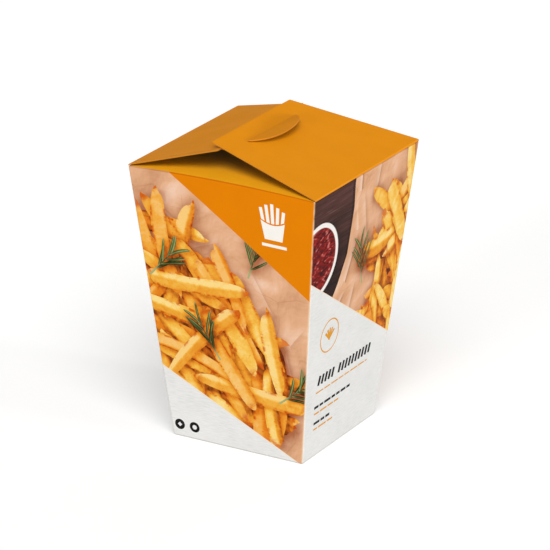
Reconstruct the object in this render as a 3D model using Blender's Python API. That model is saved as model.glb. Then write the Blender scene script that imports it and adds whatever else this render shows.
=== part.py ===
"""Shut takeaway carton, folded from one sheet of card and filled with fries.

The carton is a square box that widens towards its top.  Two minor flaps fold in
level from the front and back walls.  Two major flaps rise over them from the left
and right walls to a low ridge.  The right one lies on top, and the half-moon tongue
of the left one comes up through its slit and holds the carton shut.

Metres, +Z up.  The origin is the middle of the base, -Y is the front wall.
"""
import math

import bmesh
import bpy
from mathutils import Vector

# Driving dimensions of the box
TOP_WIDTH = 0.100          # across the walls at their top folds
BASE_WIDTH = 0.071         # across the walls at the base
WALL_HEIGHT = 0.138        # base to the top folds
CARD = 0.0005              # thickness of the card
CORNER_RADIUS = 0.0010     # outside of a folded upright corner
BASE_RADIUS = 0.0007       # outside of a fold at the base
FOLD_CROWN = 0.0013        # rise of the front and back top folds at their middle

# Roof of two major flaps
FOLD_RISE = 0.0008         # top of a major flap over the wall's fold, at its hinge
FLAP_TAPER = 0.218         # narrowing of a flap's side for each unit of its run
RIGHT_SLOPE = math.radians(11.9)
LEFT_SLOPE = math.radians(14.9)
RIGHT_RUN = 0.0628         # level distance from the right hinge to the free edge
FLAP_GAP = 0.0004          # clearance between the two flaps at the ridge

# Lock: slit in the right flap, half-moon tongue on the left one
SLIT_X = -0.0020
LOCK_Y = 0.0               # middle of the slit and the tongue
SLIT_WIDTH = 0.0013
SLIT_SPARE = 0.0008        # how much longer the slit is than the tongue, each end
TONGUE_CHORD = 0.0432
TONGUE_REACH = 0.0105      # from the slit to the tongue's tip
TONGUE_SLOPE = math.radians(9.0)
TONGUE_TWIST = math.radians(500)    # more slope with each metre to the back

TONGUE_ROOT = 0.0008       # level distance over which the tongue comes up

# Hinge of a major flap: a rounded shoulder over a narrow crease
SHOULDER_DROP = 0.0004     # from the flap's top to the widest point of the shoulder
SHOULDER_IN = 0.0003       # from the wall's outside to where the flap's top begins
CREASE_IN = 0.00035        # depth of the crease under the shoulder
ROOT_DEPTH = 0.0003        # how far the flap's root is sunk into the box
ROOT_WIDTH = 0.0012

ARC_STEPS = 14             # straight pieces along a crowned fold
TONGUE_STEPS = 20          # straight pieces round the half-moon
CORNER_STEPS = 3

HALF_TOP = TOP_WIDTH / 2
HALF_BASE = BASE_WIDTH / 2
CARD_COLOUR = (0.78, 0.30, 0.02, 1.0)


def clear_scene():
    for obj in list(bpy.data.objects):
        bpy.data.objects.remove(obj, do_unlink=True)


def card_material():
    material = bpy.data.materials.new("printed_card")
    material.use_nodes = True
    shader = material.node_tree.nodes["Principled BSDF"]
    shader.inputs["Base Color"].default_value = CARD_COLOUR
    shader.inputs["Roughness"].default_value = 0.55
    shader.inputs["Metallic"].default_value = 0.0
    return material


def link_mesh(name, bm):
    """Turn a bmesh into an object of the scene, with its faces pointing out."""
    bmesh.ops.recalc_face_normals(bm, faces=bm.faces)
    mesh = bpy.data.meshes.new(name)
    bm.to_mesh(mesh)
    bm.free()
    obj = bpy.data.objects.new(name, mesh)
    bpy.context.scene.collection.objects.link(obj)
    return obj


def hide_tool(obj):
    """A cutter or a joined shape is kept out of the finished model."""
    obj.hide_render = True
    obj.display_type = "WIRE"


def wall_reach(z):
    """Distance of a wall's outside from the middle of the box, at height z."""
    return HALF_BASE + (HALF_TOP - HALF_BASE) * z / WALL_HEIGHT


def box_body():
    """The four walls, the base and the two level minor flaps, as one block."""
    bm = bmesh.new()
    base = [bm.verts.new((sx * HALF_BASE, sy * HALF_BASE, 0.0))
            for sx, sy in ((-1, -1), (1, -1), (1, 1), (-1, 1))]
    folds = []
    for side in (-1, 1):
        fold = []
        for step in range(ARC_STEPS + 1):
            across = -1 + 2 * step / ARC_STEPS
            z = WALL_HEIGHT + FOLD_CROWN * (1 - across ** 2)
            fold.append(bm.verts.new((across * HALF_TOP, side * wall_reach(z), z)))
        folds.append(fold)
    front, back = folds
    bm.faces.new(base[::-1])
    bm.faces.new([base[0], base[1]] + front[::-1])
    bm.faces.new([base[2], base[3]] + back)
    bm.faces.new([base[1], base[2], back[-1], front[-1]])
    bm.faces.new([base[3], base[0], front[0], back[0]])
    for step in range(ARC_STEPS):
        bm.faces.new([front[step], front[step + 1], back[step + 1], back[step]])

    bm.edges.ensure_lookup_table()
    upright = [e for e in bm.edges
               if abs(e.verts[0].co.z - e.verts[1].co.z) > WALL_HEIGHT / 2]
    bmesh.ops.bevel(bm, geom=upright, offset=CORNER_RADIUS, segments=CORNER_STEPS,
                    profile=0.5, affect="EDGES")
    around_base = [e for e in bm.edges
                   if max(v.co.z for v in e.verts) < BASE_RADIUS / 2]
    bmesh.ops.bevel(bm, geom=around_base, offset=BASE_RADIUS, segments=CORNER_STEPS,
                    profile=0.5, affect="EDGES")
    return link_mesh("carton", bm)


def half_width(x, hinge_side):
    """Half the width of a major flap at x, narrowing away from its hinge."""
    return HALF_TOP - CORNER_RADIUS / 2 - FLAP_TAPER * abs(hinge_side * HALF_TOP - x)


def flap_plate(name, profile, hinge_side):
    """Sweep an outline in X and Z across the box, narrowing with the flap's taper."""
    bm = bmesh.new()
    near, far = [], []
    for x, z in profile:
        half = half_width(x, hinge_side)
        near.append(bm.verts.new((x, -half, z)))
        far.append(bm.verts.new((x, half, z)))
    bm.faces.new(near)
    bm.faces.new(far[::-1])
    for i in range(len(profile)):
        j = (i + 1) % len(profile)
        bm.faces.new([near[j], near[i], far[i], far[j]])
    obj = link_mesh(name, bm)
    hide_tool(obj)
    return obj


def flap_profile(hinge_side, top_line):
    """Outline of a flap from its folded root, along its top and back underneath."""
    wall_x = hinge_side * HALF_TOP
    slope = RIGHT_SLOPE if hinge_side > 0 else LEFT_SLOPE
    crease_x = wall_x - hinge_side * CREASE_IN
    inner_x = wall_x - hinge_side * ROOT_WIDTH
    under = [(x, z - CARD) for x, z in top_line[1:]]
    inner_z = top_line[0][1] + (ROOT_WIDTH - SHOULDER_IN) * math.tan(slope) - CARD
    root_z = WALL_HEIGHT - ROOT_DEPTH
    shoulder = (wall_x, WALL_HEIGHT + FOLD_RISE - SHOULDER_DROP)
    return ([shoulder] + top_line + under[::-1]
            + [(inner_x, inner_z), (inner_x, root_z), (crease_x, root_z)])


def right_top(x):
    """Height of the right flap's upper face."""
    run = HALF_TOP - SHOULDER_IN - x
    return WALL_HEIGHT + FOLD_RISE + run * math.tan(RIGHT_SLOPE)


def under_right_flap(x):
    """Height at which the left flap clears the underside of the right one."""
    return right_top(x) - CARD - FLAP_GAP


def left_top(x):
    """Height of the left flap's upper face, before it turns under the right flap."""
    run = x + HALF_TOP - SHOULDER_IN
    return WALL_HEIGHT + FOLD_RISE + run * math.tan(LEFT_SLOPE)


def ridge_x():
    """Where the left flap meets the underside of the right one."""
    hinge_x = -HALF_TOP + SHOULDER_IN
    room = under_right_flap(hinge_x) - left_top(hinge_x)
    return hinge_x + room / (math.tan(RIGHT_SLOPE) + math.tan(LEFT_SLOPE))


def right_flap():
    hinge = (HALF_TOP - SHOULDER_IN, WALL_HEIGHT + FOLD_RISE)
    free_x = HALF_TOP - RIGHT_RUN
    flap = flap_plate("right_flap",
                      flap_profile(1, [hinge, (free_x, right_top(free_x))]), 1)
    slit = slit_cutter()
    cut = flap.modifiers.new("slit", "BOOLEAN")
    cut.operation = "DIFFERENCE"
    cut.object = slit
    return flap


def slit_cutter():
    bm = bmesh.new()
    bmesh.ops.create_cube(bm, size=1.0)
    length = TONGUE_CHORD + 2 * SLIT_SPARE
    bmesh.ops.scale(bm, verts=bm.verts, vec=(SLIT_WIDTH, length, 8 * CARD))
    bmesh.ops.translate(bm, verts=bm.verts,
                        vec=(SLIT_X, LOCK_Y, right_top(SLIT_X) - CARD / 2))
    obj = link_mesh("slit_cutter", bm)
    hide_tool(obj)
    return obj


def left_flap():
    """Up to the ridge, then down along the right flap to the slit."""
    hinge = (-HALF_TOP + SHOULDER_IN, WALL_HEIGHT + FOLD_RISE)
    turn = ridge_x()
    end = SLIT_X + SLIT_WIDTH / 2
    top_line = [hinge, (turn, left_top(turn)), (end, under_right_flap(end))]
    return flap_plate("left_flap", flap_profile(-1, top_line), -1)


def tongue():
    """Half-moon that comes up through the slit and lies over the right flap."""
    bm = bmesh.new()
    lift = SLIT_X + SLIT_WIDTH / 2
    lift_z = right_top(lift) + FLAP_GAP
    start = lift - TONGUE_ROOT
    start_z = under_right_flap(start) - CARD / 2
    radius = (TONGUE_CHORD ** 2 / 4 + TONGUE_REACH ** 2) / (2 * TONGUE_REACH)
    half_angle = math.asin(TONGUE_CHORD / 2 / radius)
    crease, rim = [], []
    for step in range(TONGUE_STEPS + 1):
        angle = -half_angle + 2 * half_angle * step / TONGUE_STEPS
        x = lift + radius * math.cos(angle) - (radius - TONGUE_REACH)
        y = LOCK_Y + radius * math.sin(angle)
        slope = TONGUE_SLOPE + TONGUE_TWIST * (y - LOCK_Y)
        rim.append((x, y, lift_z + (x - lift) * math.tan(slope)))
        crease.append((lift, y, lift_z))
    half = TONGUE_CHORD / 2
    root = [(start, LOCK_Y - half, start_z), (start, LOCK_Y + half, start_z)]
    outlines = []
    for height, turn in ((0.0, -1), (CARD, 1)):
        outer = [bm.verts.new(Vector(p) + Vector((0, 0, height))) for p in rim]
        inner = [bm.verts.new(Vector(p) + Vector((0, 0, height))) for p in crease[1:-1]]
        inner = [outer[0]] + inner + [outer[-1]]
        back = [bm.verts.new(Vector(p) + Vector((0, 0, height))) for p in root]
        for i in range(TONGUE_STEPS):
            strip = [inner[i], outer[i], outer[i + 1], inner[i + 1]]
            corners = [v for k, v in enumerate(strip) if v not in strip[:k]]
            bm.faces.new(corners[::turn])
        bm.faces.new(([back[0]] + inner + [back[1]])[::turn])
        outlines.append([back[0]] + outer + [back[1]])
    lower, upper = outlines
    count = len(lower)
    for i in range(count):
        j = (i + 1) % count
        bm.faces.new([lower[i], lower[j], upper[j], upper[i]])
    obj = link_mesh("tongue", bm)
    hide_tool(obj)
    return obj


def carton():
    body = box_body()
    body.data.materials.append(card_material())
    for part in (right_flap(), left_flap(), tongue()):
        join = body.modifiers.new(part.name, "BOOLEAN")
        join.operation = "UNION"
        join.object = part
    return body


clear_scene()
carton()
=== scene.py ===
"""Shut takeaway carton, printed with a picture of fries and folded from one sheet of card."""
import math

import bmesh
import bpy
import numpy as np
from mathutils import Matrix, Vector, geometry


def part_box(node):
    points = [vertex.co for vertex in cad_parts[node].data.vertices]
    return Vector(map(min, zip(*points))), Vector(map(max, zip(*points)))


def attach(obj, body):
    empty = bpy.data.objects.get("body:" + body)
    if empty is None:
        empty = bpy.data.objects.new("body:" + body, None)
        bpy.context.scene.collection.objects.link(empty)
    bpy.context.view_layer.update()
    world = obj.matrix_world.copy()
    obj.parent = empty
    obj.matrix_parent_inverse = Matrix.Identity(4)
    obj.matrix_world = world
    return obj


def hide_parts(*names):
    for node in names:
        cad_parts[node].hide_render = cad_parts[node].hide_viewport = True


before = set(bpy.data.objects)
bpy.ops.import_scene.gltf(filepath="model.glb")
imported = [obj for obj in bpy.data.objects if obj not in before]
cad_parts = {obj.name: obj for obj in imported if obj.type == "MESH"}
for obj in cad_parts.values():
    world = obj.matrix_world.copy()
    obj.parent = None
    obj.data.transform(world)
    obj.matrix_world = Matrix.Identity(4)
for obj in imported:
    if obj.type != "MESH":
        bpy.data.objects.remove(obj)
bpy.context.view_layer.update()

# ---------------------------------------------------------------- Studio
# The carton stands on a plain pale floor in a white room.  Soft lamps light it from the
# right, the front and above.  The floor throws no light back on it.
carton_low, carton_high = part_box("carton")

CAMERA_AZIMUTH = math.radians(30.19)
CAMERA_ELEVATION = math.radians(21.06)
CAMERA_DISTANCE = 1.7537
CAMERA_AIM = Vector((0, 0, 0.0767))
CAMERA_LENS = 241.9
LAMPS = (("right_lamp", Vector((0.99, 0.10, 0.07)), 1.60, 8),
         ("front_lamp", Vector((-0.05, -0.99, 0.09)), 1.35, 10),
         ("top_lamp", Vector((0.35, -0.53, 0.77)), 2.02, 40),
         ("back_lamp", Vector((0.08, 0.99, 0.02)), 1.00, 4),
         ("left_lamp", Vector((-0.99, -0.08, 0.01)), 0.36, 4))
ROOM_LIGHT = 0.26
FLOOR_SIZE = 12.0
FLOOR_COLOUR = (0.93, 0.93, 0.925, 1.0)


def aim(direction):
    """Turn of a lamp or camera that looks along a direction."""
    return direction.to_track_quat("-Z", "Y").to_euler()


towards_camera = Vector((math.sin(CAMERA_AZIMUTH) * math.cos(CAMERA_ELEVATION),
                         -math.cos(CAMERA_AZIMUTH) * math.cos(CAMERA_ELEVATION),
                         math.sin(CAMERA_ELEVATION)))
bpy.ops.object.camera_add(location=CAMERA_AIM + CAMERA_DISTANCE * towards_camera,
                          rotation=aim(-towards_camera))
camera = bpy.context.object
camera.data.lens = CAMERA_LENS
camera.data.sensor_width = 36.0
camera.data.clip_start = 0.01
bpy.context.scene.camera = camera

for name, place, power, softness in LAMPS:
    bpy.ops.object.light_add(type="SUN", location=place, rotation=aim(-place))
    lamp = bpy.context.object
    lamp.name = name
    lamp.data.angle = math.radians(softness)
    lamp.data.energy = power

room = bpy.data.worlds.new("room")
room.use_nodes = True
room.node_tree.nodes["Background"].inputs["Color"].default_value = (1.0, 1.0, 1.0, 1.0)
room.node_tree.nodes["Background"].inputs["Strength"].default_value = ROOM_LIGHT
bpy.context.scene.world = room
bpy.context.scene.view_settings.view_transform = "Standard"

bpy.ops.object.select_all(action="DESELECT")
bpy.ops.mesh.primitive_plane_add(size=FLOOR_SIZE, location=(0, 0, -0.00005))
floor = bpy.context.object
floor.name = "floor"
floor_paint = bpy.data.materials.new("pale_floor")
floor_paint.use_nodes = True
floor_shader = floor_paint.node_tree.nodes["Principled BSDF"]
floor_shader.inputs["Base Color"].default_value = FLOOR_COLOUR
floor_shader.inputs["Roughness"].default_value = 0.9
floor_shader.inputs["Specular IOR Level"].default_value = 0.1
floor_shader.inputs["Emission Color"].default_value = (1.0, 1.0, 1.0, 1.0)
floor_shader.inputs["Emission Strength"].default_value = 0.24
floor.data.materials.append(floor_paint)
floor.visible_diffuse = False

# ---------------------------------------------------------------- Front wall
# The front of the folded sheet.  Coated card is printed flat with a heap of fries on
# parchment, an orange field and a white field, then creased and folded to its place.
# Sizes on the flat sheet are in millimetres: u runs along the wall, v up its slope.
MM = 0.001
TOP_HALF = carton_high.x / MM                # 50
BASE_HALF = 35.5
WALL_HEIGHT = 138.0
CARD = 0.5
CORNER_RADIUS = 1.0
BASE_RADIUS = 0.7
FOLD_RADIUS = 0.5
FOLD_CROWN = 1.3                             # rise of the top fold at its middle
PANEL_BULGE = 0.25                           # how far a wall bellies out at its middle

SPREAD = TOP_HALF - BASE_HALF
SLOPE_LENGTH = math.hypot(WALL_HEIGHT, SPREAD)
LEAN = math.atan2(SPREAD, WALL_HEIGHT)
BASE_TURN = math.pi / 2 - LEAN
FOLD_TURN = math.pi / 2 + LEAN
BASE_START = BASE_RADIUS * math.tan(BASE_TURN / 2)
FOLD_START = SLOPE_LENGTH - FOLD_RADIUS * math.tan(FOLD_TURN / 2)
SHEET_LOW = BASE_START - BASE_RADIUS * BASE_TURN
SHEET_HIGH = FOLD_START + FOLD_RADIUS * FOLD_TURN
CORNER_STEPS = 3
TURN_STEPS = 4
RIBS, HOOPS = 11, 16                         # lines that let the flat sheet bow and crown
LATTICE = 1.5                                # spacing of the points that carry soft shadows
MERGE = 0.003                                # cut lines that meet closer than this are joined


def half_width(v):
    """Half the width of a wall at v, out to its theoretical corner."""
    return BASE_HALF + SPREAD * v / SLOPE_LENGTH


def sheet_edge(v):
    """Half the flat width of the sheet, which ends half-way round each corner."""
    return half_width(v) - CORNER_RADIUS + CORNER_RADIUS * math.pi / 4


def fold_sheet(u, v, depth, quarter, crown):
    """Places of flat points (u, v) on the folded wall, at a depth into the card.
    quarter turns the front wall round the carton; crown is the rise of its top fold."""
    rise = crown * (1 - np.clip(u / TOP_HALF, -1, 1) ** 2)
    v = v + rise * np.clip(v / FOLD_START, 0, 1)
    fold_start = FOLD_START + rise
    along = np.clip(v, BASE_START, fold_start)
    centre_v = along
    tilt = LEAN + np.clip(BASE_START - v, 0, None) / BASE_RADIUS
    tilt = tilt - np.clip(v - fold_start, 0, None) / FOLD_RADIUS
    radius = np.where(v < BASE_START, BASE_RADIUS, np.where(v > fold_start, FOLD_RADIUS, 0.0))
    inner = np.where(radius > 0, np.maximum(radius - depth, 0.05), -depth)
    wall_q = BASE_HALF + centre_v * math.sin(LEAN)
    wall_z = centre_v * math.cos(LEAN)
    q = wall_q - radius * math.cos(LEAN) + inner * np.cos(tilt)
    z = wall_z + radius * math.sin(LEAN) - inner * np.sin(tilt)
    outer_q = wall_q - radius * math.cos(LEAN) + radius * np.cos(tilt)
    flat = half_width(v) - CORNER_RADIUS
    turn = np.clip((np.abs(u) - flat) / CORNER_RADIUS, 0, math.pi / 4)
    centre = outer_q - CORNER_RADIUS
    corner = np.maximum(CORNER_RADIUS - (outer_q - q), 0.05)
    x = np.where(np.abs(u) < flat, u * centre / flat, np.sign(u) * (centre + corner * np.sin(turn)))
    out = centre + corner * np.cos(turn)
    belly = (1 - np.clip(u / flat, -1, 1) ** 2) * (1 - (2 * np.clip(v / SLOPE_LENGTH, 0, 1) - 1) ** 2)
    out = out + PANEL_BULGE * belly
    x, y = x * MM, -out * MM
    for _ in range(quarter):
        x, y = -y, x
    return np.column_stack((x, y, z * MM))


def sheet_lines():
    """The flat sheet's outline, and the lines along which its folds turn."""
    outline = [(-sheet_edge(SHEET_LOW), SHEET_LOW), (sheet_edge(SHEET_LOW), SHEET_LOW),
               (sheet_edge(SHEET_HIGH), SHEET_HIGH), (-sheet_edge(SHEET_HIGH), SHEET_HIGH)]
    lines = []
    for step in range(-1, CORNER_STEPS):
        inset = CORNER_RADIUS * math.pi / 4 * (1 - step / CORNER_STEPS)
        for sign in (-1, 1):
            lines.append(((sign * (sheet_edge(SHEET_LOW) - inset), SHEET_LOW),
                          (sign * (sheet_edge(SHEET_HIGH) - inset), SHEET_HIGH)))
    for rib in range(-RIBS + 1, RIBS):
        share = rib / RIBS
        lines.append((((sheet_edge(SHEET_LOW) - 1.3) * share, SHEET_LOW),
                      ((sheet_edge(SHEET_HIGH) - 1.3) * share, SHEET_HIGH)))
    levels = [SLOPE_LENGTH * k / HOOPS for k in range(1, HOOPS)]
    levels += [BASE_START - BASE_RADIUS * BASE_TURN * k / TURN_STEPS for k in range(-1, TURN_STEPS)]
    levels += [FOLD_START + FOLD_RADIUS * FOLD_TURN * k / TURN_STEPS for k in range(-1, TURN_STEPS)]
    for v in levels:
        lines.append(((-sheet_edge(v), v), (sheet_edge(v), v)))
    return outline, lines


def covered(outline, x, y):
    """Which of the points at x, y lie within an outline."""
    corners = np.array(outline)
    (low_x, low_y), (high_x, high_y) = corners.min(axis=0), corners.max(axis=0)
    near = np.flatnonzero((x > low_x) & (x < high_x) & (y > low_y) & (y < high_y))
    odd = np.zeros(len(near), bool)
    px, py = x[near], y[near]
    for (ax, ay), (bx, by) in zip(corners, np.roll(corners, -1, axis=0)):
        if ay != by:
            odd ^= ((ay > py) != (by > py)) & (px < ax + (py - ay) * (bx - ax) / (by - ay))
    hit = np.zeros(len(x), bool)
    hit[near[odd]] = True
    return hit


def partition(outlines, lines, points):
    """Triangles of the flat sheet, which is the first outline, cut along all the others,
    and for each triangle the number of the topmost outline over it."""
    coords, edges = [], []
    for outline in outlines:
        first, count = len(coords), len(outline)
        edges += [(first + k, first + (k + 1) % count) for k in range(count)]
        coords.extend(Vector(p) for p in outline)
    for line in lines:
        edges.append((len(coords), len(coords) + 1))
        coords.extend(Vector(p) for p in line)
    coords.extend(Vector(p) for p in points)
    made = geometry.delaunay_2d_cdt(coords, edges, [], 0, MERGE, False)
    flat, triangles = np.array(made[0]), np.array(made[2])
    x, y = flat[triangles].mean(axis=1).T
    top = np.zeros(len(triangles), int)
    for number, outline in enumerate(outlines):
        top[covered(outline, x, y)] = number
    kept = covered(outlines[0], x, y)
    used, renumbered = np.unique(triangles[kept], return_inverse=True)
    return flat[used], renumbered.reshape(-1, 3), top[kept]


def tint(red, green, blue):
    """A shader's colour for an ink given on the 0-255 scale."""
    levels = [value / 255 for value in (red, green, blue)]
    linear = [x / 12.92 if x <= 0.04045 else ((x + 0.055) / 1.055) ** 2.4 for x in levels]
    return (*linear, 1.0)


def add(tree, kind, inputs=None, **settings):
    """A shader node with its settings, its sockets filled in or wired up."""
    made = tree.nodes.new(kind)
    for key, value in settings.items():
        setattr(made, key, value)
    for key, value in (inputs or {}).items():
        if isinstance(value, bpy.types.NodeSocket):
            tree.links.new(value, made.inputs[key])
        else:
            made.inputs[key].default_value = value
    return made


def calc(tree, operation, a, b=0.5, c=0.5):
    """The result of one sum on values or sockets, kept between 0 and 1 for no step."""
    return add(tree, "ShaderNodeMath", {0: a, 1: b, 2: c}, operation=operation).outputs[0]


def span(tree, value, low, high, start=0.0, end=1.0):
    """A value eased from one range to another, and held at its ends."""
    return add(tree, "ShaderNodeMapRange",
               {"Value": value, "From Min": low, "From Max": high, "To Min": start,
                "To Max": end}, interpolation_type="SMOOTHSTEP").outputs[0]


def mix(tree, factor, a, b, blend="MIX"):
    """One colour laid over another."""
    return add(tree, "ShaderNodeMix", {0: factor, 6: a, 7: b}, data_type="RGBA",
               blend_type=blend).outputs[2]


def noise(tree, vector, scale, detail=2.0, roughness=0.5, distortion=0.0):
    return add(tree, "ShaderNodeTexNoise",
               {"Vector": vector, "Scale": scale, "Detail": detail, "Roughness": roughness,
                "Distortion": distortion}).outputs["Fac"]


def ramp(tree, value, stops):
    """Colours along a value."""
    made = add(tree, "ShaderNodeValToRGB", {"Fac": value})
    band = made.color_ramp.elements
    while len(band) < len(stops):
        band.new(0.5)
    for element, (position, colour) in zip(band, stops):
        element.position = position
        element.color = colour
    return made.outputs["Color"]


def stretch(tree, vector, scale):
    """A pattern's coordinates, squeezed by a scale on each axis."""
    return add(tree, "ShaderNodeMapping", {"Vector": vector, "Scale": scale}).outputs[0]


def read(tree, name):
    """The vector that a panel's corners carry under a name, and its three parts."""
    vector = add(tree, "ShaderNodeAttribute", attribute_name=name).outputs["Vector"]
    parts = add(tree, "ShaderNodeSeparateXYZ", {0: vector}).outputs
    return vector, parts[0], parts[1], parts[2]


CORE = tint(226, 205, 172)                   # the board where its print has worn or been cut


def printed(name, paint, gloss=0.50, wear_and_fold_shade=0.55):
    """Coated card under one ink.  paint gives the ink's colour; rubbed folds show a little core, and a shade is
    painted along the top fold.
    """
    material = bpy.data.materials.new(name)
    material.use_nodes = True
    tree = material.node_tree
    shader = tree.nodes["Principled BSDF"]
    place = add(tree, "ShaderNodeTexCoord").outputs["Object"]
    colour = paint(tree)
    if wear_and_fold_shade:
        _, corner, top, base = read(tree, "creases")
        patchy = noise(tree, place, 260.0, 3.0)
        rubbed = calc(tree, "MULTIPLY", span(tree, calc(tree, "MINIMUM", corner, base), 0.60, 0.15),
                      span(tree, patchy, 0.25, 0.6, 0.4, 1.0))
        # Painted shade: a darker line along the top fold stands in for the shade in its crease.
        painted_fold_shade = mix(tree, 1.0, colour, tint(210, 192, 160), "MULTIPLY")
        colour = mix(tree, span(tree, top, 0.55, 0.15, 0.0, 0.8), colour, painted_fold_shade)
        colour = mix(tree, calc(tree, "MULTIPLY", rubbed, wear_and_fold_shade), colour, CORE)
    tree.links.new(colour, shader.inputs["Base Color"])
    fibre = noise(tree, place, 1400.0, 3.0, 0.6)
    haze = noise(tree, place, 45.0, 2.0)
    dull = calc(tree, "ADD", span(tree, fibre, 0.3, 0.7, -0.04, 0.05),
                span(tree, haze, 0.3, 0.7, gloss, gloss + 0.07))
    tree.links.new(dull, shader.inputs["Roughness"])
    relief = calc(tree, "ADD", fibre, calc(tree, "MULTIPLY", haze, 1.6))
    bump = add(tree, "ShaderNodeBump", {"Height": relief, "Strength": 0.16, "Distance": 0.00012})
    tree.links.new(bump.outputs["Normal"], shader.inputs["Normal"])
    shader.inputs["Specular IOR Level"].default_value = 0.05
    return material


def plain_ink(colour, mottle):
    """A solid ink with the faint cloudiness of a large printed area."""
    def paint(tree):
        place = add(tree, "ShaderNodeTexCoord").outputs["Object"]
        cloud = noise(tree, place, 70.0, 4.0, 0.6)
        speck = noise(tree, place, 1900.0, 2.0)
        value = calc(tree, "ADD", span(tree, cloud, 0.3, 0.7, 1 - mottle, 1 + mottle),
                     span(tree, speck, 0.35, 0.7, -mottle / 2, mottle / 2))
        grey = add(tree, "ShaderNodeCombineColor", {0: value, 1: value, 2: value}).outputs[0]
        return mix(tree, 1.0, colour, grey, "MULTIPLY")
    return paint


def white_ink(tree):
    """The white field, which carries a faint print of short level strokes like felt."""
    card = read(tree, "card")[0]
    felt = noise(tree, stretch(tree, card, (0.22, 1.9, 1.0)), 1.0, 3.0, 0.6)
    cloud = noise(tree, stretch(tree, card, (0.05, 0.07, 1.0)), 1.0, 2.0)
    value = calc(tree, "ADD", felt, calc(tree, "MULTIPLY", cloud, 0.5))
    return ramp(tree, value, ((0.45, tint(221, 221, 218)), (0.72, tint(234, 233, 229)),
                              (0.95, tint(241, 240, 237))))


def emboss(tree, card, scale, detail, distortion, step):
    """Light on a crumpled sheet: how much a bumpy pattern rises from one spot to the next."""
    here = stretch(tree, card, (scale, scale, 1.0))
    there = add(tree, "ShaderNodeVectorMath", {0: here, 1: (step, -step, 0.0)}).outputs[0]
    return calc(tree, "SUBTRACT", noise(tree, here, 1.0, detail, 0.5, distortion),
                noise(tree, there, 1.0, detail, 0.5, distortion))


def parchment_ink(tree):
    """Crumpled baking parchment: broad soft folds with finer creases, and heap shadows."""
    card = read(tree, "card")[0]
    _, _, across, _ = read(tree, "stick")
    _, tone, shade, end = read(tree, "light")
    folds = emboss(tree, card, 0.030, 2.0, 0.6, 0.16)
    creases = emboss(tree, card, 0.085, 5.0, 0.3, 0.06)
    value = calc(tree, "ADD", calc(tree, "MULTIPLY", folds, 1.5), calc(tree, "MULTIPLY", creases, 1.4))
    base = ramp(tree, calc(tree, "ADD", value, 0.5),
                ((0.18, tint(208, 151, 111)), (0.42, tint(226, 172, 131)),
                 (0.58, tint(235, 183, 145)), (0.86, tint(245, 205, 176))))
    bent = add(tree, "ShaderNodeVectorMath", {0: stretch(tree, card, (0.040, 0.034, 1.0)), 1: folds})
    facets = add(tree, "ShaderNodeTexVoronoi", {"Vector": bent.outputs[0], "Scale": 1.0},
                 feature="DISTANCE_TO_EDGE", voronoi_dimensions="2D").outputs["Distance"]
    faded = noise(tree, stretch(tree, card, (0.05, 0.05, 3.0)), 1.0, 1.0)
    sharp = calc(tree, "MULTIPLY", span(tree, facets, 0.022, 0.004), span(tree, faded, 0.42, 0.62))
    base = mix(tree, calc(tree, "MULTIPLY", sharp, 0.32), base, tint(176, 120, 84))
    fade = calc(tree, "MULTIPLY", span(tree, across, 1.0, 0.0), span(tree, end, 0.0, 9.0))
    lift = calc(tree, "MULTIPLY", calc(tree, "SUBTRACT", tone, 1.0), fade)
    base = mix(tree, span(tree, lift, 0.0, 1.0), base, tint(250, 222, 200))
    base = mix(tree, span(tree, lift, 0.0, -1.0), base, tint(160, 98, 62))
    dark = mix(tree, 1.0, base, tint(172, 112, 72), "MULTIPLY")
    return mix(tree, shade, dark, base)


def fries_ink(tree):
    """Golden fries: two soft sides along a ridge, browned edges and tips, deep gaps."""
    stick, along, across, seed = read(tree, "stick")
    _, _, shade, end = read(tree, "light")
    _, low, high, ridge = read(tree, "sides")
    body = span(tree, across, calc(tree, "SUBTRACT", ridge, 0.13), calc(tree, "ADD", ridge, 0.13),
                low, high)
    rim = calc(tree, "MULTIPLY", calc(tree, "ABSOLUTE", calc(tree, "SUBTRACT", across, 0.5)), 2.0)
    skin = noise(tree, stretch(tree, stick, (0.20, 1.5, 57.0)), 1.0, 3.0, 0.55, 0.6)
    grain = noise(tree, stretch(tree, stick, (0.8, 5.5, 91.0)), 1.0, 2.0, 0.5)
    value = calc(tree, "MULTIPLY", body, span(tree, shade, 0.0, 1.0, 0.16, 1.0))
    value = calc(tree, "ADD", value, span(tree, skin, 0.25, 0.75, -0.11, 0.11))
    value = calc(tree, "ADD", value, span(tree, grain, 0.25, 0.75, -0.035, 0.035))
    value = calc(tree, "ADD", value, span(tree, rim, 0.6, 1.0, 0.03, -0.10))
    value = calc(tree, "ADD", value, span(tree, seed, 0.0, 1.0, -0.06, 0.06))
    base = ramp(tree, value, ((0.04, tint(108, 50, 14)), (0.22, tint(186, 99, 25)),
                              (0.42, tint(232, 147, 40)), (0.60, tint(242, 173, 58)),
                              (0.78, tint(250, 198, 88)), (0.96, tint(254, 222, 142))))
    warm = mix(tree, span(tree, calc(tree, "FRACT", calc(tree, "MULTIPLY", seed, 7.0)), 0.40, 1.0,
                          0.0, 0.6), base, mix(tree, 1.0, base, tint(244, 184, 118), "MULTIPLY"))
    brown = mix(tree, 1.0, warm, tint(218, 128, 70), "MULTIPLY")
    patchy = noise(tree, stretch(tree, stick, (0.16, 0.9, 133.0)), 1.0, 3.0, 0.65)
    tip = calc(tree, "MULTIPLY", span(tree, end, 6.0, 0.5), span(tree, patchy, 0.36, 0.58))
    burnt = calc(tree, "MULTIPLY", span(tree, rim, 0.55, 1.0), span(tree, patchy, 0.45, 0.62))
    toast = calc(tree, "MAXIMUM", tip, burnt)
    toasted = mix(tree, span(tree, toast, 0.0, 1.0, 0.0, 0.9), warm, brown)
    fleck = noise(tree, stretch(tree, stick, (0.9, 5.0, 71.0)), 1.0, 1.0)
    return mix(tree, span(tree, fleck, 0.70, 0.78, 0.0, 0.5), toasted, brown)


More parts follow.
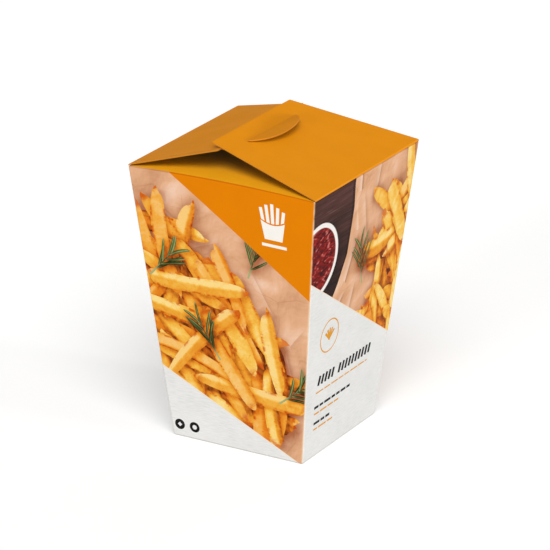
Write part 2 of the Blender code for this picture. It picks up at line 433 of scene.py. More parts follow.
def herb_ink(tree):
    """Needle leaves: dark green with a pale middle; the stem is pale all over."""
    stick, along, across, seed = read(tree, "stick")
    _, tone, shade, end = read(tree, "light")
    middle = calc(tree, "ABSOLUTE", calc(tree, "SUBTRACT", across, 0.46))
    skin = noise(tree, stretch(tree, stick, (0.3, 1.5, 43.0)), 1.0, 2.0)
    green = mix(tree, span(tree, skin, 0.3, 0.7), tint(34, 52, 12), tint(82, 102, 34))
    fresh = mix(tree, span(tree, seed, 0.0, 1.0, 0.0, 0.5), green, tint(114, 134, 66))
    vein = calc(tree, "MULTIPLY", span(tree, middle, 0.24, 0.06), span(tree, skin, 0.3, 0.6, 0.3, 0.9))
    leaf = mix(tree, calc(tree, "MULTIPLY", vein, tone), fresh, tint(168, 176, 122))
    dark = mix(tree, 1.0, leaf, tint(120, 110, 80), "MULTIPLY")
    return mix(tree, span(tree, shade, 0.2, 1.0), dark, leaf)


INKS = {
    "orange": printed("orange_ink", plain_ink(tint(230, 130, 0), 0.02)),
    "white": printed("white_ink", white_ink),
    "parchment": printed("parchment_ink", parchment_ink),
    "fries": printed("fries_ink", fries_ink),
    "herb": printed("herb_ink", herb_ink),
    "line": printed("border_ink", plain_ink(tint(247, 226, 205), 0.02)),
    "mark": printed("white_mark_ink", plain_ink(tint(252, 247, 238), 0.02)),
    "dark": printed("dark_ink", plain_ink(tint(26, 22, 24), 0.10)),
    "accent": printed("accent_ink", plain_ink(tint(226, 156, 46), 0.04)),
}
INSIDE = printed("unprinted_board", plain_ink(tint(146, 140, 116), 0.06), 0.70, 0.0)

SHADOW_REACH = 1.7                           # how softly a fry shades what lies under it
SHADOW_SHIFT = (0.9, -1.2)
PLAIN_LEVEL = 9999                           # a printed field, which nothing shades


def patch(ink, outline, **facts):
    """One printed shape.  Its facts say where it lies on a stick, and how it is lit."""
    made = {"ink": ink, "x": 0.0, "y": 0.0, "angle": 0.0, "bend": 0.0, "near": 0.0, "far": 1.0,
            "half": 0.0, "seed": 0.5, "tone": 1.0, "low": 0.2, "high": 0.2, "ridge": 0.5,
            "level": PLAIN_LEVEL, "round": 0.0}
    made.update(facts)
    x, y = np.array(outline).T
    if np.dot(x, np.roll(y, -1)) < np.dot(y, np.roll(x, -1)):
        outline = outline[::-1]
    made["outline"] = outline
    return made


def local(points, fact):
    """Places along and across a bent stick."""
    turn = fact["angle"]
    x, y = points[:, 0] - fact["x"], points[:, 1] - fact["y"]
    along = x * np.cos(turn) + y * np.sin(turn)
    half = np.maximum(fact["half"], 1e-6)
    lift = fact["bend"] * (1 - np.clip(along / half, -1, 1) ** 2)
    return along, y * np.cos(turn) - x * np.sin(turn) - lift


def shadows(points, level, casters):
    """How much light reaches each point past the sticks that lie above its own shape."""
    light = np.ones(len(points))
    for caster in casters:
        under = (level < caster["level"])
        along, across = local(points[under] - np.array(SHADOW_SHIFT), caster)
        core = max(caster["half"] - caster["width"] / 2, 0.0)
        gap = np.hypot(np.clip(np.abs(along) - core, 0, None), across) - caster["width"] / 2
        light[under] *= 1 - caster["depth"] * np.exp(-np.clip(gap, 0, None) / SHADOW_REACH)
    return light


def print_panel(name, quarter, crown, patches, casters, shaded):
    """A wall of printed card.  The flat sheet is cut along every printed outline, each
    piece takes its ink, and the sheet is folded, given its thickness and closed."""
    outline, lines = sheet_lines()
    step = LATTICE * math.sqrt(3) / 2
    points = []
    for row in range(int(SLOPE_LENGTH / step)):
        for column in range(-int(TOP_HALF / LATTICE), int(TOP_HALF / LATTICE) + 1):
            spot = ((column + 0.5 * (row % 2)) * LATTICE, (row + 0.5) * step)
            if abs(spot[0]) < sheet_edge(spot[1]) - 2 and shaded(*spot):
                points.append(spot)
    flat, triangles, top = partition([outline] + [p["outline"] for p in patches], lines, points)
    top = np.maximum(top - 1, 0)

    # The unprinted side has the same rim but only the folds across it.
    pairs = {}
    for a, b, c in triangles:
        for edge in ((a, b), (b, c), (c, a)):
            pairs[edge] = True
    after = {a: b for a, b in pairs if (b, a) not in pairs}
    rim = [next(iter(after))]
    while after[rim[-1]] != rim[0]:
        rim.append(after[rim[-1]])
    inner_flat, inner_triangles, _ = partition([[tuple(flat[i]) for i in rim]], lines, [])
    matched = {tuple(np.round(p, 4)): i for i, p in enumerate(inner_flat)}
    first = len(flat)
    inner_rim = [first + matched[tuple(np.round(flat[i], 4))] for i in rim]

    outer = fold_sheet(flat[:, 0], flat[:, 1], 0.0, quarter, crown)
    inner = fold_sheet(inner_flat[:, 0], inner_flat[:, 1], CARD, quarter, crown)
    faces = [tuple(t) for t in triangles] + [tuple(first + t[::-1]) for t in inner_triangles]
    faces += [(rim[k], inner_rim[k], inner_rim[k - len(rim) + 1], rim[k - len(rim) + 1])
              for k in range(len(rim))]
    mesh = bpy.data.meshes.new(name)
    mesh.from_pydata(np.vstack((outer, inner)).tolist(), [], faces)

    inks = sorted({p["ink"] for p in patches})
    for ink in inks:
        mesh.materials.append(INKS[ink])
    mesh.materials.append(INSIDE)
    slots = np.full(len(faces), len(inks))
    slots[:len(triangles)] = [inks.index(patches[k]["ink"]) for k in top]
    mesh.polygons.foreach_set("material_index", slots.astype(np.int32))

    corners = triangles.ravel()
    owner = np.repeat(top, 3)
    facts = {key: np.array([p[key] for p in patches], float)[owner]
             for key in patches[0] if key not in ("ink", "outline")}
    spots = flat[corners]
    along, across = local(spots, facts)
    radius = np.hypot(spots[:, 0] - facts["x"], spots[:, 1] - facts["y"])
    bearing = np.arctan2(spots[:, 1] - facts["y"], spots[:, 0] - facts["x"])
    ring = facts["round"] > 0
    along, across = np.where(ring, bearing * radius, along), np.where(ring, radius, across)
    carried = {
        "card": (spots[:, 0], spots[:, 1], np.zeros(len(spots))),
        "creases": (sheet_edge(spots[:, 1]) - np.abs(spots[:, 0]),
                    np.abs(FOLD_START + FOLD_RADIUS * FOLD_TURN / 2 - spots[:, 1]),
                    np.abs(spots[:, 1] - BASE_START + BASE_RADIUS * BASE_TURN / 2)),
        "stick": (along, (across - facts["near"]) / (facts["far"] - facts["near"]), facts["seed"]),
        "light": (facts["tone"], shadows(spots, facts["level"], casters),
                  np.clip(facts["half"] - np.abs(along), 0, 20)),
        "sides": (facts["low"], facts["high"], facts["ridge"]),
    }
    total = len(mesh.loops)
    for key, parts in carried.items():
        values = np.zeros((total, 3))
        values[:len(corners)] = np.column_stack(parts)
        mesh.attributes.new(key, "FLOAT_VECTOR", "CORNER").data.foreach_set("vector", values.ravel())

    # Its own map keeps the print at one scale, with the unprinted side in a narrow strip.
    where = np.array([loop.vertex_index for loop in mesh.loops])
    both = np.vstack((flat, inner_flat))[where]
    widest, tallest = 2 * sheet_edge(SHEET_HIGH), SHEET_HIGH - SHEET_LOW
    across_map = 0.48 + 0.93 * both[:, 0] / widest
    up_map = 0.01 + 0.98 * (both[:, 1] - SHEET_LOW) / tallest
    hidden = np.arange(total) >= len(corners)
    across_map[hidden] = 0.975 + 0.02 * both[hidden, 0] / widest
    uv = mesh.uv_layers.new(name="OFBake")
    uv.data.foreach_set("uv", np.column_stack((across_map, up_map)).ravel())

    wall = bpy.data.objects.new(name, mesh)
    bpy.context.scene.collection.objects.link(wall)
    bpy.ops.object.select_all(action="DESELECT")
    wall.select_set(True)
    bpy.context.view_layer.objects.active = wall
    bpy.ops.object.shade_smooth_by_angle(angle=math.radians(40))
    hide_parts("carton")
    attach(wall, "root")
    return wall


def fry(rng, x, y, angle, length, side, level, gaps):
    """One fry: a stick lying on its edge, so that two of its sides meet along a ridge.
    Its ends are blunt or drawn out, and its long edges waver."""
    roll = rng.uniform(math.radians(14), math.radians(76))
    half, width = length / 2, side * (math.cos(roll) + math.sin(roll)) / 2
    bend, taper, skew = rng.normal(0, 0.04) * length, rng.uniform(-0.2, 0.2), rng.uniform(-0.7, 0.7)
    blunt = rng.choice((3.0, 6.0, 14.0), 2, p=(0.4, 0.35, 0.25))
    cos, sin = math.cos(angle), math.sin(angle)
    stations = np.sin(np.linspace(-math.pi / 2, math.pi / 2, 17))
    outline = []
    for edge, row in ((-1, stations), (1, stations[-2:0:-1])):
        swell, swell_at, waver_at = rng.uniform(0.02, 0.09), rng.uniform(0, 6), rng.uniform(0, 6)
        for station in row:
            breadth = (1 - abs(station) ** blunt[int(station > 0)]) ** 0.5 * (1 + taper * station)
            breadth *= 1 + swell * math.sin(4 * station + swell_at) + 0.018 * math.sin(9 * station + waver_at)
            across = edge * width * breadth + bend * (1 - station ** 2)
            along = station * half + skew * edge * width * abs(station) ** 5
            outline.append((x + along * cos - across * sin, y + along * sin + across * cos))

    light = np.array((-0.42, 0.58, 0.70))
    tones = []
    for turn in (roll - math.pi / 2, roll):
        normal = np.array((-sin * math.sin(turn), cos * math.sin(turn), math.cos(turn)))
        tones.append(0.42 + 0.62 * max(0.0, float(normal @ light)))
    facts = {"x": x, "y": y, "angle": angle, "bend": bend, "half": half, "level": level}
    made = patch("fries", outline, near=-width, far=width, seed=rng.uniform(), low=tones[0],
                 high=tones[1], ridge=math.sin(roll) / (math.cos(roll) + math.sin(roll)), **facts)
    caster = {"width": 1.85 * width, "depth": gaps, **facts}
    return [made], caster


def heap(rng, area, lie, count, level, gaps):
    """Fries thrown over an area.  Most of them lie along one direction."""
    xs, ys = zip(*area)
    spots = []
    while len(spots) < count:
        best, clearance = None, -1.0
        for _ in range(12):
            spot = (rng.uniform(min(xs), max(xs)), rng.uniform(min(ys), max(ys)))
            if not covered(area, *np.array(spot).reshape(2, 1))[0]:
                continue
            room_left = min([math.dist(spot, other) for other in spots] or [99.0])
            if room_left > clearance:
                best, clearance = spot, room_left
        if best:
            spots.append(best)
    made, casters = [], []
    for place, index in enumerate(rng.permutation(count)):
        stray = rng.choice((rng.normal(0, 17), rng.normal(45, 16), rng.normal(95, 18)),
                           p=(0.66, 0.22, 0.12))
        patches, caster = fry(rng, *spots[index], math.radians(lie + stray),
                              rng.uniform(32, 62), rng.uniform(5.2, 6.8), level + place, gaps)
        made += patches
        casters.append(caster)
    return made, casters


def sprig(rng, x, y, angle, size, level):
    """A sprig of herb: a pale stem with narrow leaves on both sides, longest low down."""
    made, casters = [], []
    cos, sin = math.cos(angle), math.sin(angle)
    stem = [(x - 0.5 * sin * w + cos * t * size, y + 0.5 * cos * w + sin * t * size)
            for t, w in ((0, -1), (0.9, -0.5), (0.9, 0.5), (0, 1))]
    made.append(patch("herb", stem, x=x, y=y, angle=angle, near=-9, far=9, half=99, tone=2.2,
                      level=level))
    for number in range(8):
        side = 1 if number % 2 else -1
        at = (0.25 + 0.09 * number) * size
        turn = angle + side * math.radians(rng.uniform(16, 44))
        half = size * rng.uniform(0.27, 0.38) * (1.1 - 0.04 * number)
        width, bend = rng.uniform(1.3, 1.8), side * rng.uniform(-1.0, 0.2)
        root = (x + cos * at, y + sin * at)
        middle = (root[0] + math.cos(turn) * half, root[1] + math.sin(turn) * half)
        upper, lower = [], []
        for t in np.linspace(-1, 1, 9):
            breadth = width / 2 * (1 - t ** 2) ** 0.45
            for side_line, sign in ((upper, 1), (lower, -1)):
                across = sign * breadth + bend * (1 - t ** 2)
                side_line.append((middle[0] + t * half * math.cos(turn) - across * math.sin(turn),
                                  middle[1] + t * half * math.sin(turn) + across * math.cos(turn)))
        made.append(patch("herb", lower + upper[-2:0:-1], x=middle[0], y=middle[1], angle=turn,
                          bend=bend, near=-width / 2, far=width / 2, half=half,
                          seed=rng.uniform(), level=level + 0.1 * number))
        casters.append({"x": middle[0], "y": middle[1], "angle": turn, "bend": bend, "half": half,
                        "width": width, "level": level + 0.1 * number, "depth": 0.45})
    return made, casters


def disc(x, y, radius, points=40):
    return [(x + radius * math.cos(2 * math.pi * k / points),
             y + radius * math.sin(2 * math.pi * k / points)) for k in range(points)]


def block(x, y, width, height, turn=0.0):
    """A bar with its middle at (x, y), turned about it."""
    cos, sin = math.cos(turn), math.sin(turn)
    return [(x + cos * a * width / 2 - sin * b * height / 2, y + sin * a * width / 2 + cos * b * height / 2)
            for a, b in ((-1, -1), (1, -1), (1, 1), (-1, 1))]


def pleat(x, y, turn, length, lit, shaded, depth, level):
    """A fold in the parchment: one side of its crest is lit, and the other is in shade."""
    made = []
    for flip, breadth, tone in ((0, lit, 1 + depth), (180, shaded, 1 - depth)):
        angle = math.radians(turn + flip)
        at_x, at_y = x - math.sin(angle) * breadth / 2, y + math.cos(angle) * breadth / 2
        made.append(patch("parchment", block(at_x, at_y, length, breadth, angle), x=at_x, y=at_y,
                          angle=angle, half=length / 2, near=-breadth / 2, far=breadth / 2,
                          tone=tone, level=level))
    return made


def cup(x, y, size, ink):
    """A plain printed sign of a cup of fries: five sticks over a tapering cup."""
    made = []
    for number, (height, lean) in enumerate(((0.38, 9), (0.50, 5), (0.56, 0), (0.47, -5), (0.36, -9))):
        across = (number - 2) * 0.17 * size
        made.append(patch(ink, block(x + across * 1.12, y + (0.08 + height / 2) * size, 0.115 * size,
                                     (height + 0.14) * size, math.radians(lean))))
    lip = [(x + k * 0.44 * size, y + (0.10 - 0.13 * (1 - k * k)) * size) for k in np.linspace(-1, 1, 9)]
    made.append(patch("orange", [(px, py + 0.05 * size) for px, py in lip[::-1]] + lip))
    made.append(patch(ink, [(x - 0.32 * size, y - 0.55 * size), (x + 0.32 * size, y - 0.55 * size)]
                      + lip[::-1]))
    return made


FIELD_TOP, FIELD_SIDE = (-28.8, 139.6), (44.1, 87.2)     # edge of the orange field
WHITE_LEFT, WHITE_FOOT = (-38.8, 37.2), (33.6, 0.4)      # edge of the white field
BORDER = 0.45


def beyond(start, end, reach=40.0):
    """A line run on past both its ends, so that it crosses the whole sheet."""
    length = math.dist(start, end)
    dx, dy = (end[0] - start[0]) / length * reach, (end[1] - start[1]) / length * reach
    return (start[0] - dx, start[1] - dy), (end[0] + dx, end[1] + dy)


def main_artwork(seed):
    """The wide design of the front and back walls."""
    rng = np.random.default_rng(seed)
    patches = [patch("parchment", [(-60, -10), (60, -10), (60, 150), (-60, 150)], level=0)]
    for fold in ((20, 84, 118, 36, 5, 3, 0.30), (33, 62, 52, 32, 6, 4, 0.34), (-12, 104, 20, 30, 5, 4, 0.24),
                 (33, 42, 100, 40, 4, 3, 0.30), (22, 14, 150, 24, 5, 3, 0.40), (-30, 118, 140, 26, 5, 3, 0.30)):
        patches += pleat(*fold, 0)
    area = [(-52, 108), (-38, 115), (-26, 107), (-11, 96), (4, 86), (15, 73), (23, 58), (27, 44),
            (25, 31), (14, 19), (-4, 12), (-52, 8)]
    patches.append(patch("fries", [(px * 0.86, 4 + py * 0.86) for px, py in area], level=1))
    made, casters = heap(rng, area, -58, 78, 2, 0.55)
    patches += made
    for x, y, angle, size, level in ((-42, 84, 46, 21, 200), (12, 92, 70, 20, 201),
                                     (-6, 46, 120, 22, 202), (25, 30, 38, 20, 203)):
        leaves, shade = sprig(rng, x, y, math.radians(angle), size, level)
        patches += leaves
        casters += shade
    top, side = beyond(FIELD_TOP, FIELD_SIDE)
    patches.append(patch("orange", [top, side, (90, 160), (-60, 180)]))
    left, foot = beyond(WHITE_LEFT, WHITE_FOOT)
    patches.append(patch("line", [left, foot, (60, -60), (-90, -60)]))
    drop = BORDER / math.cos(math.atan2(left[1] - foot[1], foot[0] - left[0]))
    patches.append(patch("white", [(left[0], left[1] - drop), (foot[0], foot[1] - drop),
                                   (60, -60), (-90, -60)]))
    patches += cup(27.0, 122.4, 14.5, "mark")
    patches.append(patch("mark", block(27.2, 111.6, 13.0, 1.5)))
    for number, x in enumerate((-31.4, -23.2)):
        patches.append(patch("dark", disc(x, 6.5, 2.75)))
        patches.append(patch("white", disc(x, 6.5, 1.2) if number else block(x, 6.5, 1.7, 1.7, math.pi / 4)))

    def pictured(u, v):
        return v < 139.6 - 0.72 * (u + 28.8) + 2 and v > 37.2 - 0.51 * (u + 38.8) - 2

    return patches, casters, pictured


print_panel("front_wall", 0, FOLD_CROWN, *main_artwork(7))

# ---------------------------------------------------------------- Right wall
# The right side of the folded sheet.  Its print shows a dark table top, a white pot of
# red dip, parchment and the edge of the heap, over a white field with ruled lines.
def wood_ink(tree):
    """Dark table boards with long level grain and a few paler scratches."""
    card = read(tree, "card")[0]
    _, tone, shade, _ = read(tree, "light")
    grain = noise(tree, stretch(tree, card, (0.035, 0.9, 1.0)), 1.0, 5.0, 0.65, 0.3)
    broad = noise(tree, stretch(tree, card, (0.02, 0.16, 1.0)), 1.0, 2.0)
    value = calc(tree, "ADD", calc(tree, "MULTIPLY", grain, 0.6), calc(tree, "MULTIPLY", broad, 0.4))
    base = ramp(tree, value, ((0.30, tint(38, 20, 16)), (0.45, tint(66, 38, 31)),
                              (0.60, tint(86, 54, 46)), (0.75, tint(116, 84, 78))))
    scratch = noise(tree, stretch(tree, card, (0.05, 2.6, 7.0)), 1.0, 2.0)
    base = mix(tree, span(tree, scratch, 0.64, 0.72, 0.0, 0.45), base, tint(146, 122, 120))
    height = add(tree, "ShaderNodeSeparateXYZ", {0: card}).outputs[1]
    dim = mix(tree, span(tree, height, 66.0, 138.0), tint(92, 74, 70), tint(255, 248, 252))
    base = mix(tree, 1.0, base, dim, "MULTIPLY")
    dark = mix(tree, 1.0, base, tint(120, 100, 96), "MULTIPLY")
    return mix(tree, calc(tree, "MULTIPLY", tone, shade), dark, base)


def dip_ink(tree):
    """Thick red dip: stirred ridges of dark red with pale wet glints along them."""
    card = read(tree, "card")[0]
    shade = read(tree, "light")[2]
    turned = add(tree, "ShaderNodeMapping", {"Vector": card, "Rotation": (0, 0, -0.7),
                                             "Scale": (0.16, 0.42, 1.0)}).outputs[0]
    swirl = noise(tree, turned, 1.0, 3.0, 0.5, 0.8)
    ridge = emboss(tree, turned, 1.1, 2.0, 0.8, 0.22)
    value = calc(tree, "ADD", swirl, calc(tree, "MULTIPLY", ridge, 0.9))
    base = ramp(tree, value, ((0.24, tint(48, 5, 4)), (0.42, tint(98, 12, 9)),
                              (0.60, tint(138, 24, 19)), (0.78, tint(176, 62, 54))))
    glint = span(tree, ridge, 0.10, 0.22, 0.0, 0.65)
    base = mix(tree, glint, base, tint(210, 130, 124))
    return mix(tree, shade, mix(tree, 1.0, base, tint(110, 100, 100), "MULTIPLY"), base)


def glaze_ink(tree):
    """The pot's white rim, rounded by a soft grey towards both its edges."""
    _, _, across, _ = read(tree, "stick")
    _, tone, shade, _ = read(tree, "light")
    body = mix(tree, span(tree, across, 0.75, 1.0, 0.0, 0.5), tint(250, 244, 238), tint(206, 190, 184))
    body = mix(tree, span(tree, across, 0.22, 0.0, 0.0, 0.55), body, tint(214, 184, 176))
    return mix(tree, shade, tint(176, 160, 156), body)


INKS["wood"] = printed("wood_ink", wood_ink)
INKS["dip"] = printed("dip_ink", dip_ink)
INKS["glaze"] = printed("glaze_ink", glaze_ink)

SIDE_WHITE = ((-46.4, 96.9), (40.2, 42.5))   # edge of the side walls' white field
POT_X, POT_Y, POT_RADIUS, POT_RIM = -42.0, 106.0, 19.3, 2.4
RULES = ((-29.5, 34.8, 49.0, 0.75, "accent"), (-29.5, 27.0, 34.0, 1.35, "dark"),
         (-29.0, 23.6, 24.0, 0.9, "accent"), (-28.5, 18.4, 15.0, 1.35, "dark"),
         (-28.2, 15.2, 18.0, 0.9, "accent"))


def ruled(rng, x, y, length, height, ink):
    """A printed rule, broken into strokes of uneven length."""
    made, at = [], 0.0
    while at < length:
        stroke = min(rng.uniform(3.0, 7.5), length - at)
        made.append(patch(ink, block(x + at + stroke / 2, y, stroke, height)))
        at += stroke + 0.9
    return made


def side_artwork(seed):
    """The design of the left and right walls."""
    rng = np.random.default_rng(seed)
    patches = [patch("wood", [(-60, -10), (60, -10), (60, 150), (-60, 150)], level=0)]
    edge = [(-10.5, 150), (-11.5, 136), (-10.4, 124), (-11.6, 113), (-13.0, 101), (-19.5, 88),
            (-27.5, 76), (-34.0, 60)]
    patches.append(patch("wood", [(px - 2.2, py - 1.6) for px, py in edge] + [(60, 20), (60, 150)],
                         level=0, tone=0.35))
    patches.append(patch("parchment", edge + [(60, 20), (60, 150)], level=1))
    patches.append(patch("parchment", [(px + 1.3 + 0.9 * (k % 2), py) for k, (px, py) in enumerate(edge)]
                         + [(px, py) for px, py in edge[::-1]], level=1))
    for fold in ((-4.5, 122, 92, 50, 5, 3, 0.62), (-9.5, 94, 68, 34, 6, 4, 0.55), (3, 112, 104, 40, 7, 4, 0.36),
                 (-20, 72, 50, 32, 5, 4, 0.50), (-6, 70, 74, 34, 7, 5, 0.42), (12, 132, 80, 26, 6, 4, 0.40)):
        patches += pleat(*fold, 1)
    patches.append(patch("glaze", disc(POT_X, POT_Y, POT_RADIUS, 64), x=POT_X, y=POT_Y, round=1.0,
                         near=POT_RADIUS - POT_RIM, far=POT_RADIUS, level=2))
    patches.append(patch("dip", disc(POT_X, POT_Y, POT_RADIUS - POT_RIM, 56), level=3))
    casters = [{"x": POT_X, "y": POT_Y, "angle": 0.0, "bend": 0.0, "half": POT_RADIUS,
                "width": 2 * POT_RADIUS, "level": 2, "depth": 0.7}]
    area = [(53, 124), (40, 121), (28, 112), (20, 99), (20, 84), (15, 68), (9, 52), (16, 30), (53, 30)]
    patches.append(patch("fries", [(px * 1.05, py * 0.98) for px, py in area], level=4))
    made, shade = heap(rng, area, -66, 42, 5, 0.66)
    patches += made
    casters += shade
    leaves, shade = sprig(rng, 5, 80, math.radians(104), 23, 200)
    patches += leaves
    casters += shade

    left, right = beyond(*SIDE_WHITE)
    drop = BORDER / math.cos(math.atan2(left[1] - right[1], right[0] - left[0]))
    patches.append(patch("line", [left, right, (90, -60), (-90, -60)]))
    patches.append(patch("white", [(left[0], left[1] - drop), (right[0], right[1] - drop),
                                   (90, -60), (-90, -60)]))
    patches.append(patch("accent", disc(-22.0, 62.5, 8.6, 48)))
    patches.append(patch("white", disc(-22.0, 62.5, 7.9, 48)))
    for number in range(5):
        turn = math.radians(90 + 24 * (number - 2))
        patches.append(patch("accent", block(-22.0 + 2.4 * math.cos(turn), 60.9 + 2.4 * math.sin(turn),
                                             6.2, 1.3, turn)))
    for number in range(16):
        if number != 5:
            patches.append(patch("dark", block(-27.4 + 3.2 * number, 40.8, 2.0, 5.0,
                                               math.radians(-14))))
    for rule in RULES:
        patches += ruled(rng, *rule)

    def pictured(u, v):
        return v > 96.9 - 0.63 * (u + 46.4) - 2

    return patches, casters, pictured


print_panel("right_wall", 1, 0.0, *side_artwork(11))

# ---------------------------------------------------------------- Back wall
# The back of the sheet repeats the front's design, with another throw of fries.
print_panel("back_wall", 2, FOLD_CROWN, *main_artwork(23))

# ---------------------------------------------------------------- Left wall
# The left side repeats the right one's design.  The sheet's two ends meet behind it.
print_panel("left_wall", 3, 0.0, *side_artwork(31))

# ---------------------------------------------------------------- Minor flaps
# Level flaps folded in from the front and back walls, under the roof.  Each keeps the
# crown of its fold, and they meet in the middle, so that nothing shows between them.
def minor_ink_with_painted_shade(tree):
    """The flaps' orange with a painted shade: full colour along the fold, darker further in, where the roof's
    shade would fall.
    """
    place = add(tree, "ShaderNodeTexCoord").outputs["Object"]
    depth = add(tree, "ShaderNodeSeparateXYZ", {0: place}).outputs[1]
    # Painted shade: the orange is mixed towards a dull brown from the fold inwards, standing in for the shade
    # under the roof.
    out_of_painted_shade = span(tree, calc(tree, "ABSOLUTE", depth), 0.012, 0.042)
    return mix(tree, out_of_painted_shade, tint(150, 118, 62), plain_ink(tint(255, 174, 26), 0.02)(tree))


FLAP_INK = printed("flap_ink", plain_ink(tint(229, 143, 16), 0.02), 0.5, 0.0)
# This ink carries a painted shade under the roof.
MINOR_INK_PAINTED_SHADE = printed("minor_flap_painted_shade_ink", minor_ink_with_painted_shade, 0.5, 0.0)
CUT_EDGE = printed("cut_edge", plain_ink(tint(198, 126, 36), 0.05), 0.7, 0.0)
CROWN_STEPS = 28


def select(obj, wanted, mode="FACE"):
    """In edit mode, select only the faces or edges that a test on each one picks."""
    bpy.ops.mesh.select_mode(type=mode)
    bpy.ops.mesh.select_all(action="DESELECT")
    shape = bmesh.from_edit_mesh(obj.data)
    for part in (shape.faces if mode == "FACE" else shape.edges):
        part.select_set(bool(wanted(part)))
    shape.select_flush_mode()
    bmesh.update_edit_mesh(obj.data)


def finish_flap(flap, ink, printed_side=1):
    flap.data.materials.clear()
    for material in (ink, INSIDE, CUT_EDGE):
        flap.data.materials.append(material)
    bpy.ops.object.mode_set(mode="EDIT")
    bpy.ops.mesh.select_all(action="SELECT")
    bpy.ops.mesh.normals_make_consistent(inside=False)
    bpy.ops.object.mode_set(mode="OBJECT")
    for face in flap.data.polygons:
        rise = face.normal.z * printed_side
        hinge = abs(face.center.x) > (TOP_HALF - 0.8) * MM and abs(face.normal.y) < 0.5
        face.material_index = 0 if rise > 0.5 or hinge else 1 if rise < -0.5 else 2
    bpy.ops.object.shade_smooth_by_angle(angle=math.radians(30))
    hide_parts("carton")
    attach(flap, "root")


minor_start = TOP_HALF - FOLD_RADIUS * math.tan(FOLD_TURN / 2)
for name, side in (("front_minor_flap", -1), ("back_minor_flap", 1)):
    bpy.ops.object.select_all(action="DESELECT")
    bpy.ops.mesh.primitive_grid_add(x_subdivisions=CROWN_STEPS, y_subdivisions=6, size=2)
    flap = bpy.context.object
    flap.name = flap.data.name = name
    for vertex in flap.data.vertices:
        along, inward = vertex.co.x, (1 - side * vertex.co.y) / 2
        vertex.co = ((TOP_HALF - 1.2) * along * MM, side * (minor_start * (1 - inward) + 0.1 * inward) * MM,
                     (WALL_HEIGHT + FOLD_CROWN * (1 - along ** 2)) * MM)
    thick = flap.modifiers.new("card", "SOLIDIFY")
    thick.thickness = CARD * MM
    thick.offset = -1.0
    bpy.ops.object.modifier_apply(modifier="card")
    finish_flap(flap, MINOR_INK_PAINTED_SHADE)

# ---------------------------------------------------------------- Right flap
# The upper half of the roof, hinged on the right wall's top fold.  A tapering tongue
# of the same sheet, with a slit cut in it for the lock and its cut edges left bare.
RIGHT_SLOPE, LEFT_SLOPE = math.radians(11.9), math.radians(14.9)
HINGE_RISE = 0.8                             # a flap's top over the wall's, at its hinge
HINGE_IN = 0.3                               # from the wall's face to where that top begins
HINGE_RADIUS = 0.55
HINGE_TUCK = math.radians(38)                # how far the fold turns in under the flap
TAPER = {1: 0.218, -1: 0.232}                # narrowing of a flap's sides along its run
FREE_X = -12.8                               # the right flap's free edge
FREE_ROUND = 0.6
SLIT_LEFT, SLIT_RIGHT = -2.25, -1.35
LOCK_Y, TONGUE_CHORD, SLIT_SPARE = 0.0, 43.2, 0.1
FLAP_GAP = 0.4


def right_top(x):
    """Height of the right flap's upper face."""
    return WALL_HEIGHT + HINGE_RISE + (TOP_HALF - HINGE_IN - x) * math.tan(RIGHT_SLOPE)


def flap_half(run, side=1):
    """Half the width of a roof flap at a level distance from its hinge."""
    return TOP_HALF - CORNER_RADIUS / 2 - TAPER[side] * run


def major_flap(name, side, slope, free_x):
    """A roof flap as it is folded up: a tapered plate, tilted, with its hinge turned down."""
    run = TOP_HALF - HINGE_RADIUS * (1 - math.sin(slope)) - side * free_x
    length = run / math.cos(slope)
    hinge_x = side * (TOP_HALF - HINGE_RADIUS * (1 - math.sin(slope)))
    hinge_z = WALL_HEIGHT + HINGE_RISE + (HINGE_RADIUS * (1 - math.sin(slope)) - HINGE_IN) * math.tan(slope)
    bpy.ops.object.select_all(action="DESELECT")
    bpy.ops.mesh.primitive_cube_add(
        size=1, location=((hinge_x - side * length / 2) * MM, 0, (hinge_z - CARD / 2) * MM),
        scale=(length * MM, 2 * flap_half(0) * MM, CARD * MM))
    flap = bpy.context.object
    flap.name = flap.data.name = name
    bpy.ops.object.transform_apply(location=True, rotation=True, scale=True)
    bpy.ops.object.mode_set(mode="EDIT")
    select(flap, lambda face: face.normal.x * side < -0.9)
    narrow = flap_half(run, side) / flap_half(0)
    bpy.ops.transform.resize(value=(1, narrow, 1))
    bpy.ops.mesh.select_all(action="SELECT")
    for share in (0.12, 0.3, 0.5, 0.7, 0.88):
        bpy.ops.mesh.select_all(action="SELECT")
        bpy.ops.mesh.bisect(plane_co=((hinge_x - side * length * share) * MM, 0, 0), plane_no=(1, 0, 0))
    bpy.ops.mesh.select_all(action="SELECT")
    bpy.ops.transform.rotate(value=-side * slope, orient_axis="Y",
                             center_override=(hinge_x * MM, 0, hinge_z * MM))
    select(flap, lambda face: face.normal.x * side > 0.9)
    axis_x = hinge_x - side * HINGE_RADIUS * math.sin(slope)
    axis_z = hinge_z - HINGE_RADIUS * math.cos(slope)
    bpy.ops.mesh.spin(steps=9, angle=-side * (math.pi / 2 - slope + HINGE_TUCK),
                      center=(axis_x * MM, 0, axis_z * MM), axis=(0, 1, 0))
    bpy.ops.object.mode_set(mode="OBJECT")
    return flap


def at_free_end(part, side, free_x):
    """Whether an edge stands upright through the card at a flap's free end."""
    a, b = (vertex.co / MM for vertex in part.verts)
    return abs(a.y - b.y) < 0.01 and (a - b).length < 2 * CARD and abs(a.x - free_x) < 1.0


right_flap = major_flap("right_flap", 1, RIGHT_SLOPE, FREE_X)
bpy.ops.object.mode_set(mode="EDIT")
select(right_flap, lambda edge: at_free_end(edge, 1, FREE_X), "EDGE")
bpy.ops.mesh.bevel(offset=FREE_ROUND * MM, segments=6)
bpy.ops.object.mode_set(mode="OBJECT")

